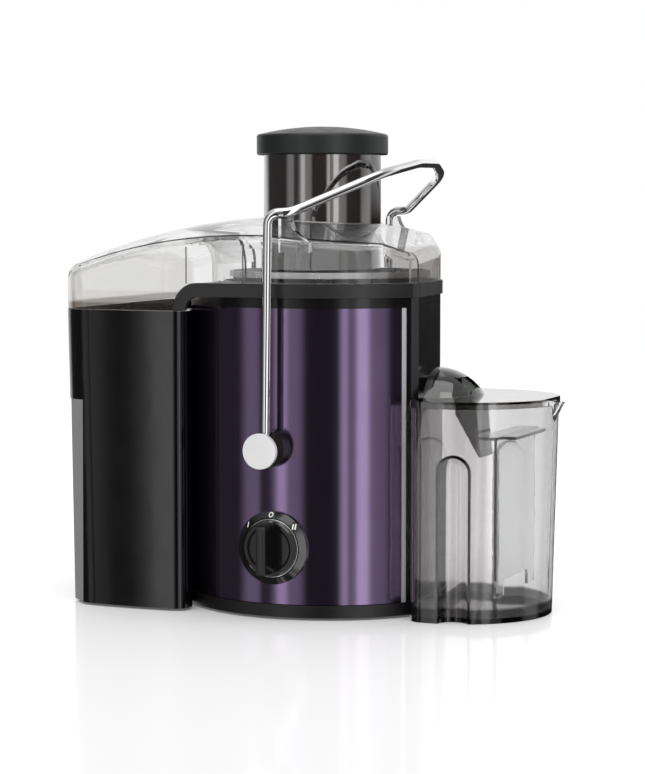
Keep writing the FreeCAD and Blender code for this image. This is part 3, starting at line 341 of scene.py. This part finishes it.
def make_tube_bead():
    """Bead where the feed tube leaves the domed lid: it follows the dome's height round the tube."""
    steps = 120
    outset = 0.0006
    thickness = 0.0011
    low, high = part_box("feed_tube")
    middle = middle_of(low, high)
    radius = (high[0] - low[0]) / 2 + outset
    centres = []
    outwards = []
    for k in range(steps):
        turn = 2 * math.pi * k / steps
        outward = Vector((math.cos(turn), math.sin(turn), 0))
        place = middle + outward * radius
        place.z = dome_height(place.x, place.y)
        centres.append(place)
        outwards.append(outward)
    bead("tube_bead", centres, outwards, Vector((0, 0, 1)), thickness, "machine", "smoke_tube")


def rib(name, points, radius, body, slot):
    """A round rib along a smooth path."""
    curve = bpy.data.curves.new(name, "CURVE")
    curve.dimensions = "3D"
    curve.bevel_depth = radius
    curve.bevel_resolution = 4
    curve.use_fill_caps = True
    spline = curve.splines.new("NURBS")
    spline.points.add(len(points) - 1)
    for target, point in zip(spline.points, points):
        target.co = (*point, 1)
    spline.order_u = 3
    spline.use_endpoint_u = True
    curve.materials.append(looks[slot].material)
    obj = bpy.data.objects.new(name, curve)
    scene.collection.objects.link(obj)
    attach(obj, body)


def make_curtain_edges():
    """Rounded edges of the window in the lid's curtain, which lean out with its flare at the top."""
    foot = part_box("lid")[0][2] + 0.003
    window_half = 0.0335
    curtain = 0.0785
    flare = 0.022
    flare_start = 0.230
    thickness = 0.0011
    runs = 4
    bends = 8
    bend = math.radians(10)
    reach = math.sqrt(curtain ** 2 - window_half ** 2) / curtain
    for side, end in ((-1, "front"), (1, "rear")):
        outward = Vector((-reach, side * window_half / curtain, 0))
        start = Vector((spindle_x, 0, 0)) + outward * curtain
        points = []
        for k in range(runs + 1):
            points.append(start + Vector((0, 0, foot + (flare_start - foot) * k / runs)))
        for k in range(1, bends + 1):
            lean = outward * (flare * (1 - math.cos(bend * k)))
            points.append(start + lean + Vector((0, 0, flare_start + flare * math.sin(bend * k))))
        rib(f"curtain_edge_{end}", points, thickness, "machine", "smoke_tube")


def make_lid_ribs():
    """Thin upright ribs inside the lid's front and rear walls."""
    low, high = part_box("lid")
    wall = 0.0032
    under_dome = 0.0048
    foot = low[2] + 0.018
    thickness = 0.0005
    for number, offset in enumerate((-0.063, -0.022), start=1):
        x = spindle_x + offset
        for y, end in ((low[1] + wall, "front"), (high[1] - wall, "rear")):
            head = dome_height(x, y) - under_dome
            points = [(x, y, foot), (x, y, (foot + head) / 2), (x, y, head)]
            rib(f"lid_rib_{end}_{number}", points, thickness, "machine", "smoke_tube")


make_knob_ring()
make_grip()
make_tube_bead()
make_curtain_edges()
make_lid_ribs()


# ---------------------------------------------------------------- floor, light and camera

def make_floor():
    """Pale round floor: two thirds matt, one third soft mirror, and shining a little to stay pale."""
    radius = 2.6
    steps = 96
    below_feet = 0.0002
    mirror_share = 0.34
    rim = []
    for k in range(steps):
        turn = 2 * math.pi * k / steps
        rim.append((radius * math.cos(turn), radius * math.sin(turn), 0))
    mesh = bpy.data.meshes.new("floor")
    mesh.from_pydata(rim, [], [list(range(steps))])
    floor = bpy.data.objects.new("floor", mesh)
    scene.collection.objects.link(floor)
    floor.location.z = -below_feet
    floor.visible_glossy = False
    material = bpy.data.materials.new("floor_white")
    mesh.materials.append(material)
    surface = Tree(material)
    surface.tree.nodes.remove(surface.tree.nodes["Principled BSDF"])
    matt = surface.node("BsdfDiffuse", Color=(0.95, 0.95, 0.95, 1))
    shine = surface.node("BsdfGlossy", Color=(1, 1, 1, 1), Roughness=0.085)
    glow = surface.node("Emission", Strength=0.08)
    mix = surface.node("MixShader")
    mix.inputs[0].default_value = mirror_share
    whole = surface.node("AddShader")
    surface.link(matt.outputs[0], mix.inputs[1])
    surface.link(shine.outputs[0], mix.inputs[2])
    surface.link(mix.outputs[0], whole.inputs[0])
    surface.link(glow.outputs[0], whole.inputs[1])
    surface.link(whole.outputs[0], surface.tree.nodes["Material Output"].inputs["Surface"])


# Levels of light by azimuth in degrees: 0 lies in front of the object, 90 to its right.
# Between two places the level runs evenly.
BRIGHTEST = 3.0
FRONT_BANDS = [
    (-106, 0.07), (-55, 0.07), (-47, 0.62), (-37, 0.62), (-34, 0.1), (-27, 0.1), (-22, 0.6),
    (-19, 1.7), (-14, 1.7), (-10, 0.66), (-2, 0.6), (4, 0.04), (29, 0.04), (33.5, 1.6), (36, 1.6),
    (38, 0.5), (42.5, 0.7), (45.5, 2.3), (52, 2.3), (56, 0.7), (68, 0.55), (73, 0.05), (100, 0.04),
]
REAR_BANDS = [
    (-180, 0.03), (-152, 0.04), (-140, 1.0), (-118, 1.0), *FRONT_BANDS, (108, 0.7), (126, 0.8),
    (136, 0.03), (180, 0.03),
]
FLOOR_BANDS = [(-180, 1.0), (-130, 1.0), (-118, 0.4), *FRONT_BANDS, (112, 0.4), (126, 1.0), (180, 1.0)]
SIDE_FLAGS = [
    (-180, 1.0), (-112, 1.0), (-104, 0.5), (-62, 0.5), (-54, 1.0), (96, 1.0), (106, 0.5), (126, 0.5),
    (136, 1.0), (180, 1.0),
]


class World(Tree):
    """The room around the object, as a small tree of world nodes."""

    def __init__(self):
        scene.world = bpy.data.worlds.new("studio")
        super().__init__(scene.world)
        self.tree.nodes.clear()

    def azimuth(self, direction):
        """The direction's azimuth, from 0 at -180 degrees to 1 at 180."""
        flip = self.node("Math", operation="MULTIPLY")
        flip.inputs[1].default_value = -1.0
        self.link(direction.outputs["Y"], flip.inputs[0])
        turn = self.node("Math", operation="ARCTAN2")
        self.link(direction.outputs["X"], turn.inputs[0])
        self.link(flip.outputs[0], turn.inputs[1])
        return self.ranged(turn.outputs[0], -math.pi, math.pi)

    def bands(self, share, levels):
        """Levels of light by azimuth."""
        ramp = self.node("ValToRGB")
        self.link(share, ramp.inputs[0])
        stops = ramp.color_ramp.elements
        while len(stops) > 1:
            stops.remove(stops[0])
        for index, (degrees, level) in enumerate(levels):
            place = (degrees + 180) / 360
            stop = stops[0] if index == 0 else stops.new(place)
            stop.position = place
            stop.color = (*[level / BRIGHTEST] * 3, 1)
        return ramp.outputs[0]

    def mixed(self, factor, first, second):
        """First where the factor is 0, second where it is 1: each an output or a grey level."""
        mix = self.node("Mix", data_type="RGBA")
        self.link(factor, mix.inputs[0])
        for socket, source in ((mix.inputs[6], first), (mix.inputs[7], second)):
            if isinstance(source, float):
                socket.default_value = (*[source / BRIGHTEST] * 3, 1)
            else:
                self.link(source, socket)
        return mix.outputs[2]


def make_world():
    """White for plain light, bands for what shines, and grey flags at the sides for clear plastic."""
    world = World()
    direction = world.node("SeparateXYZ")
    world.link(world.node("TexCoord").outputs["Generated"], direction.inputs[0])
    height = direction.outputs["Z"]
    share = world.azimuth(direction)
    level = world.ranged(height, -0.01, 0.03)
    shine = world.mixed(level, world.bands(share, REAR_BANDS), world.bands(share, FLOOR_BANDS))
    shine = world.mixed(world.ranged(height, 0.45, 0.8), shine, 0.6)
    through = world.mixed(world.ranged(height, 0.3, 0.6), world.bands(share, SIDE_FLAGS), 1.0)
    path = world.node("LightPath")
    seen = world.mixed(path.outputs["Is Glossy Ray"], 1.0, shine)
    seen = world.mixed(path.outputs["Is Transmission Ray"], seen, through)
    light = world.node("Background", Strength=BRIGHTEST)
    world.link(seen, light.inputs["Color"])
    world.link(light.outputs[0], world.node("OutputWorld").inputs["Surface"])


def make_lamp(name, place, aim, size, watts):
    """A flat lamp that the camera doesn't see."""
    lamp = bpy.data.lights.new(name, "AREA")
    lamp.shape = "RECTANGLE"
    lamp.size, lamp.size_y = size
    lamp.energy = watts
    obj = bpy.data.objects.new(name, lamp)
    scene.collection.objects.link(obj)
    obj.location = place
    obj.rotation_euler = (Vector(aim) - Vector(place)).to_track_quat("-Z", "Y").to_euler()
    obj.visible_camera = False


def make_camera():
    """Camera at the photograph's place, ahead of the spindle and to its right."""
    turn = math.radians(22.5)
    dip = math.radians(4.40)
    right = 0.6513
    ahead = 1.5849
    height = 0.2774
    data = bpy.data.cameras.new("camera")
    data.sensor_width = 36.0
    data.lens = 116.28
    camera = bpy.data.objects.new("camera", data)
    scene.collection.objects.link(camera)
    camera.location = (spindle_x + right, -ahead, height)
    look = Vector((-math.sin(turn) * math.cos(dip), math.cos(turn) * math.cos(dip), -math.sin(dip)))
    camera.rotation_euler = look.to_track_quat("-Z", "Y").to_euler()
    scene.camera = camera


make_floor()
make_world()
make_lamp("top_light", place=(0.2, -0.5, 1.6), aim=(0, 0, 0.1), size=(1.6, 1.6), watts=14)
make_camera()
scene.view_settings.view_transform = "Standard"
